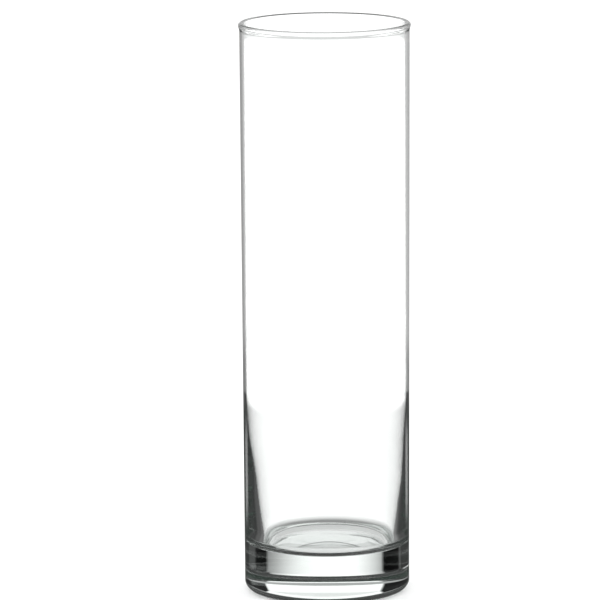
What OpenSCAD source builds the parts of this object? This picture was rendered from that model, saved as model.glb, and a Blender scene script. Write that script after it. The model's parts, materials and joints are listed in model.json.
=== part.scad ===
// Glass cylinder vase, moulded in one piece of clear soda-lime glass.
// It stands on z = 0 with its axis on Z. Millimetres.
// Outside: a slightly conical wall on a round heel. Inside: a straight bore
// that closes in over a thick base. The lip is a fire-polished bead, and the
// underside is hollow within a narrow bearing ring.

/* [Outside] */
// Height from the bearing ring to the top of the lip
vase_h = 265; // [220:1:320]
// Outside diameter of the wall, carried down to the table
base_d = 76.2; // [74:0.2:78]
// Outside diameter of the wall, carried up to the top of the lip
top_d = 78.1; // [78.1:0.1:84]

/* [Inside] */
// Diameter of the straight bore below the lip
bore_d = 74; // [70:0.2:74]
// Thickness of the solid base over the table
base_t = 21.5; // [10:0.5:30]
// Diameter of the cavity, carried down to the floor
cavity_floor_d = 61; // [50:0.2:64]
// Height over the floor at which the wall has thinned to the straight bore
thinning_h = 70; // [50:1:110]
// Radius of the round corner between floor and wall
floor_corner_r = 5; // [2:0.5:8]

/* [Lip] */
// How far the lip bead stands out from the wall
lip_flare = 0.5; // [0.2:0.1:1]

/* [Base] */
// Width of the round heel, from the wall in to the bearing ring
heel_w = 5.8; // [4:0.1:8]
// Height of the round heel
heel_h = 5; // [3:0.5:8]
// Width of the flat of the bearing ring, which the vase stands on
ring_w = 1.2; // [1:0.1:3]
// Height from the table to the edge of the hollow inside the ring
ring_h = 1.9; // [0.5:0.1:3]
// Further rise of the hollow, from its edge to its middle
punt_h = 2.1; // [0.5:0.1:4]

/* [Hidden] */
$fn = 180;

HEEL_STEPS = 10;
CORNER_STEPS = 8;
THINNING_STEPS = 14;
LIP_STEPS = 14;
PUNT_STEPS = 6;
// The wall thins quickly over the floor and then ever more slowly
THINNING_POWER = 1.6;
// Height over which the outside runs out of the lip bead and back into the wall
LIP_BLEND_H = 3;
// Width of the slope from the ring's flat up to the edge of the hollow
RING_SLOPE_W = 1;

base_r = base_d / 2;
top_r = top_d / 2;
bore_r = bore_d / 2;
cavity_floor_r = cavity_floor_d / 2;

// The bead is a half circle between the bore and the flared outside
lip_r = (top_r + lip_flare - bore_r) / 2;
lip_mid_r = bore_r + lip_r;
lip_z = vase_h - lip_r;

// The hollow under the base is a shallow cap of a large sphere
ring_in_r = base_r - heel_w - ring_w;
punt_rim_r = ring_in_r - RING_SLOPE_W;
punt_sphere_r = (pow(punt_rim_r, 2) + pow(punt_h, 2)) / (2 * punt_h);

// Radius of the outside wall at height z
function wall_r(z) = base_r + (top_r - base_r) * z / vase_h;

// Radius of the cavity wall at height z, from the floor to the straight bore
function cavity_r(z) =
    bore_r - (bore_r - cavity_floor_r) * pow(1 - (z - base_t) / thinning_h, THINNING_POWER);

// Points on an elliptical arc in the half-section plane, r wide and h high
function arc(cx, cz, r, h, from, to, steps) =
    [for (i = [0 : steps]) let (a = from + (to - from) * i / steps) [cx + r * cos(a), cz + h * sin(a)]];

// Roof of the hollow, from the axis out to its edge
punt_line = [for (i = [0 : PUNT_STEPS])
    let (r = punt_rim_r * i / PUNT_STEPS)
    [r, ring_h + punt_h - punt_sphere_r + sqrt(pow(punt_sphere_r, 2) - pow(r, 2))]];

// Round heel, from the bearing ring up into the wall
heel_line = arc(wall_r(heel_h) - heel_w, heel_h, heel_w, heel_h, -90, 0, HEEL_STEPS);

// Lip bead, from outside, over the top, to the bore
lip_line = arc(lip_mid_r, lip_z, lip_r, lip_r, 0, 180, LIP_STEPS);

// Thinning wall of the cavity, from the straight bore down to the floor corner
corner_z = base_t + floor_corner_r;
thinning_line = [for (i = [0 : THINNING_STEPS])
    let (z = base_t + thinning_h - (thinning_h - floor_corner_r) * i / THINNING_STEPS)
    [cavity_r(z), z]];

// Round corner down onto the floor
corner_line = arc(cavity_r(corner_z) - floor_corner_r, corner_z, floor_corner_r, floor_corner_r,
    0, -90, CORNER_STEPS);

// Half section of the glass, round once from the axis under the base to the floor
section = concat(
    punt_line,
    [[ring_in_r, 0]],
    heel_line,
    [[wall_r(lip_z - LIP_BLEND_H), lip_z - LIP_BLEND_H]],
    lip_line,
    thinning_line,
    [for (i = [1 : CORNER_STEPS]) corner_line[i]],
    [[0, base_t]]
);

module vase() {
    color([0.86, 0.92, 0.9, 0.4])
        rotate_extrude()
            polygon(section);
}

vase();
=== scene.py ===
import json
import math

import bmesh
import bpy
from mathutils import Matrix, Vector


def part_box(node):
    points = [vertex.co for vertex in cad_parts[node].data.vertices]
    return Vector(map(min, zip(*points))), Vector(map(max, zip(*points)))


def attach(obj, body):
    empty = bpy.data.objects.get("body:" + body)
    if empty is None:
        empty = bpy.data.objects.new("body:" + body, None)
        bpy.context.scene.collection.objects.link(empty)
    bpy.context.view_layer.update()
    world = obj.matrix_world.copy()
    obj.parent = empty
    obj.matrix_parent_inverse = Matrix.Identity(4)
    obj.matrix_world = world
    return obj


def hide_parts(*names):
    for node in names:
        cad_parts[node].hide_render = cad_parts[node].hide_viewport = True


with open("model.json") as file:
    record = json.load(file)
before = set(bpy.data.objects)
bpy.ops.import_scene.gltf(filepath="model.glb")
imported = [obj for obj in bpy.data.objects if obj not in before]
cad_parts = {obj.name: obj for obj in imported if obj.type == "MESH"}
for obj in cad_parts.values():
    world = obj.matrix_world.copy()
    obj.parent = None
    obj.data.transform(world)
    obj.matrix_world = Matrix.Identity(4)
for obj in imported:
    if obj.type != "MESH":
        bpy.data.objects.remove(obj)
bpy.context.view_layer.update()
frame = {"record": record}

MM = 0.001
NODE = "vase"
LOW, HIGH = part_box(NODE)
HEIGHT = HIGH.z - LOW.z
LIP_RADIUS = (HIGH.x - LOW.x) / 2

# The record's bore mount gives the straight inside of the wall
bore = next(mount for mount in frame["record"]["mounts"] if mount["name"] == "mouth_bore")
BORE_RADIUS = bore["dims"]["r_mm"] * MM


# ---------------------------------------------------------------- camera

CAMERA_DISTANCE = 2.734  # along the table from the vase's axis
CAMERA_HEIGHT = 0.597
LENS_MM = 360.7
PITCH, YAW, ROLL = 9.57, 0.249, -0.331  # degrees: down, to the left, clockwise


def make_camera():
    """A long lens that looks a little down on the vase, which stands right of the middle."""
    data = bpy.data.cameras.new("camera")
    data.lens = LENS_MM
    data.sensor_width = 36
    data.clip_end = 50
    camera = bpy.data.objects.new("camera", data)
    bpy.context.scene.collection.objects.link(camera)
    pitch, yaw, roll = (math.radians(angle) for angle in (PITCH, YAW, ROLL))
    level = math.cos(pitch)
    ahead = Vector((-math.sin(yaw) * level, math.cos(yaw) * level, -math.sin(pitch)))
    right = Vector((math.cos(yaw), math.sin(yaw), 0))
    up = right.cross(ahead)
    rolled_right = math.cos(roll) * right + math.sin(roll) * up
    rolled_up = math.cos(roll) * up - math.sin(roll) * right
    turn = Matrix((rolled_right, rolled_up, -ahead)).transposed()
    camera.matrix_world = Matrix.Translation((0, -CAMERA_DISTANCE, CAMERA_HEIGHT)) @ turn.to_4x4()
    bpy.context.scene.camera = camera


# ---------------------------------------------------------------- shape of the vase

SEGMENTS = 288
BASE_RADIUS = 38.1 * MM  # of the outside wall, carried down to the table
WALL_TOP_RADIUS = 39.05 * MM  # the same, carried up to the top of the lip
HEEL_WIDTH, HEEL_HEIGHT = 5.8 * MM, 5 * MM
RING_WIDTH = 1.2 * MM  # of the flat that the vase stands on
RING_SLOPE, RING_HEIGHT = 1 * MM, 1.9 * MM  # from the flat up to the edge of the hollow
RING_ROUNDING = 0.35 * MM
PUNT_HEIGHT = 2.1 * MM  # from the edge of the hollow underneath to its middle
BASE_THICKNESS = 21.5 * MM
CAVITY_FLOOR_RADIUS = 30.5 * MM
THINNING_HEIGHT, THINNING_POWER = 70 * MM, 1.6  # of the wall, over the floor of the cavity
CORNER_RADIUS = 5 * MM
LIP_BLEND = 2.8 * MM  # height over which the wall flares into the lip bead
CAVITY_SHIFT = 0.6 * MM  # how far the cavity sits off the axis at its floor
SHIFT_START, SHIFT_END = 48 * MM, 75 * MM  # heights between which that fades out

BEAD_RADIUS = (LIP_RADIUS - BORE_RADIUS) / 2
BEAD_Z = HEIGHT - BEAD_RADIUS


def smooth_step(t):
    """From 0 to 1 as t goes from 0 to 1, level at both ends."""
    return t * t * (3 - 2 * t)


def clamped(t):
    return min(max(t, 0), 1)


def wall_radius(z):
    return BASE_RADIUS + (WALL_TOP_RADIUS - BASE_RADIUS) * z / HEIGHT


def cavity_radius(z):
    t = clamped((z - BASE_THICKNESS) / THINNING_HEIGHT)
    return BORE_RADIUS - (BORE_RADIUS - CAVITY_FLOOR_RADIUS) * (1 - t) ** THINNING_POWER


def cavity_shift(z):
    """The lower cavity lies a little off the axis towards +X, so the wall is thicker on one side."""
    return CAVITY_SHIFT * (1 - smooth_step(clamped((z - SHIFT_START) / (SHIFT_END - SHIFT_START))))


def arc(centre, width, height, start, stop, steps):
    """Points on an elliptical arc in the half section, angles in degrees."""
    angles = [math.radians(start + (stop - start) * i / steps) for i in range(steps + 1)]
    return [(centre[0] + width * math.cos(a), centre[1] + height * math.sin(a)) for a in angles]


def rounded(before, corner, after, radius, steps=6):
    """The corner of a line in the half section, rounded to a radius."""
    corner = Vector(corner)
    back = (Vector(before) - corner).normalized()
    onward = (Vector(after) - corner).normalized()
    half = back.angle(onward) / 2
    start = corner + back * radius / math.tan(half)
    stop = corner + onward * radius / math.tan(half)
    middle = corner + (back + onward).normalized() * radius / math.sin(half)
    points = []
    for i in range(steps + 1):
        spoke = (start - middle).lerp(stop - middle, i / steps)
        points.append(tuple(middle + spoke.normalized() * radius))
    return points


def underside():
    """From the middle of the hollow, over its edge, down onto the flat of the bearing ring."""
    flat_inside = BASE_RADIUS - HEEL_WIDTH - RING_WIDTH
    edge = flat_inside - RING_SLOPE
    foot = (flat_inside, 0)
    steps = 24
    roof = []
    for i in range(1, steps + 1):
        t = i / steps
        roof.append((edge * t, RING_HEIGHT + PUNT_HEIGHT * (1 - t ** 2)))
    points = roof[:-1]
    points += rounded(roof[-2], roof[-1], foot, RING_ROUNDING)
    points += rounded(roof[-1], foot, (flat_inside + RING_WIDTH, 0), RING_ROUNDING)
    return points


def outside_section():
    """Half section of the outside, from the middle of the hollow to the top of the lip."""
    heel_middle = (wall_radius(HEEL_HEIGHT) - HEEL_WIDTH, HEEL_HEIGHT)
    points = underside() + arc(heel_middle, HEEL_WIDTH, HEEL_HEIGHT, -90, 0, 28)
    blend_z = BEAD_Z - LIP_BLEND
    steps = 60
    for i in range(1, steps + 1):
        z = HEEL_HEIGHT + (blend_z - HEEL_HEIGHT) * i / steps
        points.append((wall_radius(z), z))
    flare = LIP_RADIUS - wall_radius(BEAD_Z)
    steps = 16
    for i in range(1, steps):
        z = blend_z + LIP_BLEND * i / steps
        points.append((wall_radius(z) + flare * smooth_step(i / steps), z))
    points += arc((BORE_RADIUS + BEAD_RADIUS, BEAD_Z), BEAD_RADIUS, BEAD_RADIUS, 0, 90, 12)
    return points


def inside_section():
    """Half section of the inside, from the top of the lip down to the middle of the floor."""
    points = arc((BORE_RADIUS + BEAD_RADIUS, BEAD_Z), BEAD_RADIUS, BEAD_RADIUS, 90, 180, 12)[1:]
    corner_z = BASE_THICKNESS + CORNER_RADIUS
    steps = 80
    for i in range(1, steps):
        z = BEAD_Z + (corner_z - BEAD_Z) * i / steps
        points.append((cavity_radius(z), z))
    floor_radius = cavity_radius(corner_z) - CORNER_RADIUS
    points += arc((floor_radius, corner_z), CORNER_RADIUS, CORNER_RADIUS, 0, -90, 20)
    steps = 12
    points += [(floor_radius * (1 - i / steps), BASE_THICKNESS) for i in range(1, steps)]
    return points


def circle_of_points(bm, radius, z, segments, shift=0):
    """Mesh points on a level circle whose middle is shifted along X."""
    points = []
    for k in range(segments):
        turn = 2 * math.pi * k / segments
        points.append(bm.verts.new((shift + radius * math.cos(turn), radius * math.sin(turn), z)))
    return points


def make_vase():
    """Rings of points round the axis, up the outside and down the inside, closed by two fans."""
    mesh = bpy.data.meshes.new("vase_glass")
    bm = bmesh.new()
    rings = []
    for inside, section in ((False, outside_section()), (True, inside_section())):
        for radius, z in section:
            shift = cavity_shift(z) if inside else 0
            rings.append(circle_of_points(bm, radius, z, SEGMENTS, shift))
    for lower, upper in zip(rings, rings[1:]):
        for k in range(SEGMENTS):
            after = (k + 1) % SEGMENTS
            bm.faces.new((lower[k], lower[after], upper[after], upper[k]))
    middle_of_hollow = (0, 0, RING_HEIGHT + PUNT_HEIGHT)
    middle_of_floor = (cavity_shift(BASE_THICKNESS), 0, BASE_THICKNESS)
    for ring, place in ((rings[0], middle_of_hollow), (rings[-1], middle_of_floor)):
        middle = bm.verts.new(place)
        for k in range(SEGMENTS):
            bm.faces.new((ring[k], ring[(k + 1) % SEGMENTS], middle))
    bmesh.ops.recalc_face_normals(bm, faces=bm.faces)
    for face in bm.faces:
        face.smooth = True
    bm.to_mesh(mesh)
    bm.free()
    vase = bpy.data.objects.new("vase_glass", mesh)
    bpy.context.scene.collection.objects.link(vase)
    vase.data.materials.append(glass_material())
    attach(vase, "root")
    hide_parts(NODE)


# ---------------------------------------------------------------- shader nodes

def math_node(tree, operation, first, second=None):
    """A math node's result. first and second are numbers or sockets."""
    node = tree.nodes.new("ShaderNodeMath")
    node.operation = operation
    for socket, value in zip(node.inputs, (first, second)):
        if value is None:
            continue
        if isinstance(value, (int, float)):
            socket.default_value = value
        else:
            tree.links.new(value, socket)
    return node.outputs[0]


def mix_values(tree, factor, first, second):
    """first where factor is 0, second where it is 1."""
    difference = math_node(tree, "SUBTRACT", second, first)
    return math_node(tree, "ADD", first, math_node(tree, "MULTIPLY", factor, difference))


def slope(tree, value, start, stop, low=0, high=1, smooth=False):
    """low below start, high above stop, and a slope in between."""
    node = tree.nodes.new("ShaderNodeMapRange")
    node.interpolation_type = "SMOOTHSTEP" if smooth else "LINEAR"
    tree.links.new(value, node.inputs["Value"])
    for socket, number in (("From Min", start), ("From Max", stop), ("To Min", low), ("To Max", high)):
        node.inputs[socket].default_value = number
    return node.outputs["Result"]


def noise_value(tree, place, scale, detail):
    node = tree.nodes.new("ShaderNodeTexNoise")
    node.inputs["Scale"].default_value = scale
    node.inputs["Detail"].default_value = detail
    tree.links.new(place, node.inputs["Vector"])
    return node.outputs["Fac"]


def split_axes(tree, vector):
    """The X, Y and Z sockets of a vector."""
    split = tree.nodes.new("ShaderNodeSeparateXYZ")
    tree.links.new(vector, split.inputs[0])
    return split.outputs


# ---------------------------------------------------------------- glass

GLASS_IOR = 1.52
DEPTH_TINT, DEPTH_TINT_DENSITY = (0.80, 0.92, 0.86, 1), 4  # what long ways through the glass turn to
WAVE_SCALE, WAVE_STRETCH = 70, 0.12  # the waves are drawn out along the height
WAVE_HEIGHT, WAVE_STRENGTH = 0.05 * MM, 0.25
WAVE_TINT = (0.985, 1, 0.993, 1)
SPECK_SCALE, SPECK_ROUGHNESS = 2600, 0.06
SCUFF_SCALE, SCUFF_ROUGHNESS = 1400, (0.12, 0.4)
SCUFF_HEIGHT = 0.3 * MM  # of the worn zone over the table


def glass_material():
    """Clear glass with a grey-green tint in depth, faint draw lines, fine specks and a worn ring."""
    material = bpy.data.materials.new("clear_glass")
    material.use_nodes = True
    tree = material.node_tree
    shader = tree.nodes["Principled BSDF"]
    shader.inputs["Transmission Weight"].default_value = 1
    shader.inputs["IOR"].default_value = GLASS_IOR
    place = tree.nodes.new("ShaderNodeTexCoord").outputs["Object"]

    # The mould leaves slow waves in the surface and a trace of uneven tint
    stretch = tree.nodes.new("ShaderNodeMapping")
    stretch.inputs["Scale"].default_value = (1, 1, WAVE_STRETCH)
    tree.links.new(place, stretch.inputs["Vector"])
    waves = noise_value(tree, stretch.outputs["Vector"], WAVE_SCALE, 2)
    bump = tree.nodes.new("ShaderNodeBump")
    bump.inputs["Strength"].default_value = WAVE_STRENGTH
    bump.inputs["Distance"].default_value = WAVE_HEIGHT
    tree.links.new(waves, bump.inputs["Height"])
    tree.links.new(bump.outputs["Normal"], shader.inputs["Normal"])
    tint = tree.nodes.new("ShaderNodeValToRGB")
    tint.color_ramp.elements[0].color = WAVE_TINT
    tint.color_ramp.elements[1].color = (1, 1, 1, 1)
    tree.links.new(waves, tint.inputs["Fac"])
    tree.links.new(tint.outputs["Color"], shader.inputs["Base Color"])

    # Specks of dust all over, and the scuffed flat that the vase stands on
    specks = slope(tree, noise_value(tree, place, SPECK_SCALE, 3), 0.66, 0.8, 0, SPECK_ROUGHNESS)
    scuffed = slope(tree, noise_value(tree, place, SCUFF_SCALE, 4), 0.35, 0.65, *SCUFF_ROUGHNESS)
    on_ring = slope(tree, split_axes(tree, place)["Z"], SCUFF_HEIGHT / 3, SCUFF_HEIGHT, 1, 0)
    tree.links.new(mix_values(tree, on_ring, specks, scuffed), shader.inputs["Roughness"])

    volume = tree.nodes.new("ShaderNodeVolumeAbsorption")
    volume.inputs["Color"].default_value = DEPTH_TINT
    volume.inputs["Density"].default_value = DEPTH_TINT_DENSITY
    tree.links.new(volume.outputs[0], tree.nodes["Material Output"].inputs["Volume"])
    return material


# ---------------------------------------------------------------- studio

# A band of the studio is a list of (azimuth, brightness), in degrees. Azimuth 0 lies behind the
# vase and grows to the right. These two are seen by light that went through the glass unmirrored.
MAIN_BAND = [
    (-180, 0.04), (-56, 0.04), (-54.5, 0.1), (-52.5, 0.1), (-51, 0), (-33, 0), (-31, 0.5), (-26, 0.75),
    (-15, 1.15), (0, 1.3), (13, 1.05), (28, 0.48), (35, 0.3), (37.5, 0), (50, 0), (53.5, 0.09), (65, 0.09),
    (68, 0.03), (101, 0.03), (105, 0.7), (120, 1.25), (150, 1.25), (165, 0.7), (169, 0.04), (180, 0.04),
]
LOW_BAND = [
    (-180, 0.03), (-124, 0.03), (-121, 0.5), (-105, 1.25), (-75, 1.25), (-59, 0.5), (-56, 0.03),
    (-34, 0.03), (-31, 0.5), (-15, 1.25), (15, 1.25), (31, 0.5), (34, 0.03), (180, 0.03),
]
# These are seen by light that the glass has mirrored
MIRRORED_DOWN = [
    (-180, 0.12), (-60, 0.18), (-46, 0.18), (-42, 0.11), (-33, 0.11), (-27, 0.04), (27, 0.05), (36, 0.1),
    (45, 0.28), (60, 0.28), (64, 0.12), (180, 0.12),
]
MIRRORED_MAIN = [
    (-180, 0.06), (-19, 0.06), (-17, 0.15), (17, 0.15), (19, 0.06), (116, 0.06), (118, 0.35), (152, 0.35),
    (154, 0.06), (180, 0.06),
]
MIRRORED_EDGE = [
    (-180, 0.06), (-38, 0.06), (-34, 0.9), (-26, 0.9), (-23, 0.1), (23, 0.1), (26, 0.9), (34, 0.9),
    (38, 0.06), (180, 0.06),
]
MIRRORED_FAR = [
    (-180, 0.3), (-80, 0.3), (-75, 0.65), (-28, 0.65), (-26, 0.36), (8, 0.36), (14, 0.5), (26, 0.5),
    (28, 0.65), (75, 0.65), (80, 0.3), (180, 0.3),
]
MIRRORED_UP = [
    (-180, 0.01), (-33, 0.01), (-31, 1.2), (36, 1.2), (38, 0.01), (101, 0.01), (105, 1.2), (165, 1.2),
    (169, 0.01), (180, 0.01),
]
# Painted shade: straight down, the glass sees a dark table, a painted shadow at the foot
FOOT_SHADE = 0.05  # close to the foot of the vase
BACKDROP = 1.3
OVERHEAD = 0.9

# What light from each elevation upwards is like: a band, one brightness all round, or the table
DIRECT_LAYERS = [(-90, FOOT_SHADE), (-72, "table"), (-20, MAIN_BAND), (-6.0, LOW_BAND), (-0.5, BACKDROP)]
MIRRORED_LAYERS = [
    (-90, FOOT_SHADE), (-40, MIRRORED_DOWN), (-20, MIRRORED_MAIN), (-10.1, MIRRORED_FAR), (-4.5, 0.25),
    (-0.5, 0.45), (11, MIRRORED_UP), (26, OVERHEAD),
]
OUTSIDE_LAYERS = [
    (-90, MIRRORED_MAIN), (-11.7, MIRRORED_EDGE), (-10.9, MIRRORED_MAIN), (-10.1, MIRRORED_FAR),
    (-4.5, 0.25), (-0.5, OVERHEAD),
]
LAYER_EDGE = 0.2  # degrees that a layer takes to blend into the next, each way
# Painted shadow: the table's brightness falls from far off towards the foot of the vase
TABLE_NEAR, TABLE_FAR = (-52, 0.25), (-27, 1.3)  # (elevation, brightness), a slope in between
# Through both walls: the brightness above each pair of elevations, over the plain table
PLAIN_STEPS = [(-14, -10.8, 3), (-6.8, -6.0, 1.25), (0, 2, 0.75)]
SOFT_LIGHT = 1.5  # on the floor
GROUND = 1.05  # behind everything, straight into the camera

GLASS_BOUNCES = 200
# Counts of the surfaces that light has gone through, and of those that have mirrored it
ENTERED, ONE_WALL, TWO_WALLS = 0.5, 2.5, 3.5
MIRRORED, TRAPPED, LOST = 0.5, 3.5, 8.5
TRAPPED_LIGHT = 0.055
TRAPPED_LIGHT_OVER_FLOOR = 0.6  # the same, where the light has also crossed the cavity


def band_value(tree, azimuth, stops):
    """A band's brightness at an azimuth that runs from -180 to 180."""
    share = math_node(tree, "ADD", math_node(tree, "DIVIDE", azimuth, 360), 0.5)
    ramp = tree.nodes.new("ShaderNodeValToRGB")
    elements = ramp.color_ramp.elements
    elements.remove(elements[1])
    elements[0].position = 0
    elements[0].color = (stops[0][1],) * 3 + (1,)
    for at, brightness in stops[1:]:
        elements.new(at / 360 + 0.5).color = (brightness,) * 3 + (1,)
    tree.links.new(share, ramp.inputs["Fac"])
    grey = tree.nodes.new("ShaderNodeRGBToBW")
    tree.links.new(ramp.outputs["Color"], grey.inputs["Color"])
    return grey.outputs[0]


def stacked(tree, azimuth, elevation, layers, table):
    """The brightness that a list of layers gives, each over the one before."""
    seen = None
    for lowest, layer in layers:
        if layer == "table":
            level = table
        elif isinstance(layer, list):
            level = band_value(tree, azimuth, layer)
        else:
            level = layer
        if seen is None:
            seen = level
        else:
            above = slope(tree, elevation, lowest - LAYER_EDGE, lowest + LAYER_EDGE, smooth=True)
            seen = mix_values(tree, above, seen, level)
    return seen


def make_studio():
    """A soft studio that shows the glass a band for each way the light has taken through it."""
    world = bpy.data.worlds.new("studio")
    bpy.context.scene.world = world
    world.use_nodes = True
    tree = world.node_tree
    direction = tree.nodes.new("ShaderNodeTexCoord").outputs["Generated"]
    x, y, z = split_axes(tree, direction)
    azimuth = math_node(tree, "DEGREES", math_node(tree, "ARCTAN2", x, y))
    elevation = math_node(tree, "DEGREES", math_node(tree, "ARCSINE", z))
    # Painted shadow: the table is bright far off and darker towards the foot of the vase
    table = slope(tree, elevation, TABLE_NEAR[0], TABLE_FAR[0], TABLE_NEAR[1], TABLE_FAR[1])

    path = tree.nodes.new("ShaderNodeLightPath").outputs
    through, mirrored = path["Transmission Depth"], path["Glossy Depth"]
    unmirrored = math_node(tree, "LESS_THAN", mirrored, MIRRORED)
    seen = mix_values(tree, unmirrored, stacked(tree, azimuth, elevation, MIRRORED_LAYERS, table),
                      stacked(tree, azimuth, elevation, DIRECT_LAYERS, table))
    # Light that has crossed both walls unmirrored sees the plain table and backdrop
    crossed = math_node(tree, "GREATER_THAN", through, TWO_WALLS)
    plain = table
    for start, stop, brightness in PLAIN_STEPS:
        plain = mix_values(tree, slope(tree, elevation, start, stop, smooth=True), plain, brightness)
    seen = mix_values(tree, math_node(tree, "MULTIPLY", crossed, unmirrored), seen, plain)
    # What the outside of the glass mirrors
    outside = math_node(tree, "LESS_THAN", through, ENTERED)
    seen = mix_values(tree, outside, seen, stacked(tree, azimuth, elevation, OUTSIDE_LAYERS, table))
    # Light that has been mirrored many times inside the glass comes out evenly dim
    found = math_node(tree, "MULTIPLY", crossed, math_node(tree, "LESS_THAN", mirrored, LOST))
    dim = mix_values(tree, found, TRAPPED_LIGHT, TRAPPED_LIGHT_OVER_FLOOR)
    seen = mix_values(tree, math_node(tree, "GREATER_THAN", mirrored, TRAPPED), seen, dim)

    scattered = math_node(tree, "GREATER_THAN", path["Diffuse Depth"], 0.5)
    soft = math_node(tree, "MAXIMUM", path["Is Diffuse Ray"], scattered)
    seen = mix_values(tree, soft, seen, SOFT_LIGHT)
    seen = mix_values(tree, path["Is Camera Ray"], seen, GROUND)
    background = tree.nodes["Background"]
    background.inputs["Color"].default_value = (1, 1, 1, 1)
    tree.links.new(seen, background.inputs["Strength"])


# ---------------------------------------------------------------- floor and cards

FLOOR_RADIUS = 4
# Painted light: the patch under the base glows as if it were table lit through the glass
UNDER_BASE_RADIUS, UNDER_BASE_LIGHT = 0.04, 0.75
LOW_CARD_RADII, LOW_CARD_HEIGHT, LOW_CARD_LIGHT = (0.5, 0.15), 0.12, 0.06
LIP_CARD_RADII, LIP_CARD_TOP, LIP_CARD_LIGHT = (0.0405, 0.6), 0.256, 0.65
LIP_CARD_SLOPE = 14  # degrees, a little steeper than the camera looks down
STAGE_SEGMENTS = 96


def make_floor():
    floor = disc("floor", FLOOR_RADIUS)
    floor.visible_transmission = False
    floor.visible_glossy = False
    material = bpy.data.materials.new("pale_floor")
    material.use_nodes = True
    shader = material.node_tree.nodes["Principled BSDF"]
    shader.inputs["Base Color"].default_value = (0.9, 0.9, 0.9, 1)
    shader.inputs["Roughness"].default_value = 1
    shader.inputs["Specular IOR Level"].default_value = 0
    floor.data.materials.append(material)


def disc(name, radius):
    """A disc on the table, round the vase's axis."""
    bpy.ops.mesh.primitive_circle_add(vertices=STAGE_SEGMENTS, radius=radius, fill_type="NGON",
                                      location=(0, 0, LOW.z))
    made = bpy.context.object
    made.name = name
    return made


def cone(name, inner, outer):
    """A band between two (radius, z) circles round the vase's axis, its front side up."""
    mesh = bpy.data.meshes.new(name)
    bm = bmesh.new()
    near = circle_of_points(bm, *inner, STAGE_SEGMENTS)
    far = circle_of_points(bm, *outer, STAGE_SEGMENTS)
    for k in range(STAGE_SEGMENTS):
        after = (k + 1) % STAGE_SEGMENTS
        bm.faces.new((near[k], far[k], far[after], near[after]))
    bm.to_mesh(mesh)
    bm.free()
    made = bpy.data.objects.new(name, mesh)
    bpy.context.scene.collection.objects.link(made)
    return made


def glow_in_glass(card, light, shown):
    """Only the glass sees the card: as light where shown(tree, path) is 1, and clear elsewhere."""
    card.visible_camera = False
    card.visible_diffuse = False
    card.visible_shadow = False
    material = bpy.data.materials.new(card.name)
    material.use_nodes = True
    tree = material.node_tree
    tree.nodes.remove(tree.nodes["Principled BSDF"])
    path = tree.nodes.new("ShaderNodeLightPath").outputs
    clear = tree.nodes.new("ShaderNodeBsdfTransparent")
    glow = tree.nodes.new("ShaderNodeEmission")
    glow.inputs["Strength"].default_value = light
    mix = tree.nodes.new("ShaderNodeMixShader")
    tree.links.new(shown(tree, path), mix.inputs[0])
    tree.links.new(clear.outputs[0], mix.inputs[1])
    tree.links.new(glow.outputs[0], mix.inputs[2])
    tree.links.new(mix.outputs[0], tree.nodes["Material Output"].inputs["Surface"])
    card.data.materials.append(material)


def after_two_walls(tree, path):
    """1 for light that has gone through both walls."""
    return math_node(tree, "GREATER_THAN", path["Transmission Depth"], TWO_WALLS)


def unmirrored_before(tree, path, walls):
    """1 for light that nothing has mirrored and that hasn't gone through so many walls."""
    near = math_node(tree, "LESS_THAN", path["Transmission Depth"], walls)
    return math_node(tree, "MULTIPLY", near, math_node(tree, "LESS_THAN", path["Glossy Depth"], MIRRORED))


def before_two_walls(tree, path):
    """1 for unmirrored light that hasn't gone through both walls."""
    return unmirrored_before(tree, path, TWO_WALLS)


def from_above_unless_straight(tree, path):
    """1 for light from above the card, but not for what is seen straight through one wall."""
    below = tree.nodes.new("ShaderNodeNewGeometry").outputs["Backfacing"]
    hidden = math_node(tree, "MAXIMUM", below, unmirrored_before(tree, path, ONE_WALL))
    return math_node(tree, "SUBTRACT", 1, hidden)


def make_glow_under_base():
    """A patch under the base that glows and that only the glass sees: painted light standing in for the
    table lit through the glass.
    """
    glow_in_glass(disc("glow_under_base", UNDER_BASE_RADIUS), UNDER_BASE_LIGHT, after_two_walls)


def make_low_card():
    """A low dark card all round the vase. Its refraction draws the dark line along the heel."""
    wide, narrow = LOW_CARD_RADII
    card = cone("low_card", (narrow, LOW_CARD_HEIGHT), (wide, 0))
    glow_in_glass(card, LOW_CARD_LIGHT, before_two_walls)


def make_lip_card():
    """A wide pale cone below the lip, seen from above only. The lip bends and mirrors it."""
    narrow, wide = LIP_CARD_RADII
    drop = (wide - narrow) * math.tan(math.radians(LIP_CARD_SLOPE))
    card = cone("lip_card", (narrow, LIP_CARD_TOP), (wide, LIP_CARD_TOP - drop))
    glow_in_glass(card, LIP_CARD_LIGHT, from_above_unless_straight)


# ---------------------------------------------------------------- scene

bpy.context.scene.view_settings.view_transform = "Standard"
# Light that the thick glass traps is followed until it comes out
for bounces in ("max_bounces", "glossy_bounces", "transmission_bounces"):
    setattr(bpy.context.scene.cycles, bounces, GLASS_BOUNCES)
make_camera()
make_studio()
make_floor()
make_glow_under_base()
make_low_card()
make_lip_card()
make_vase()
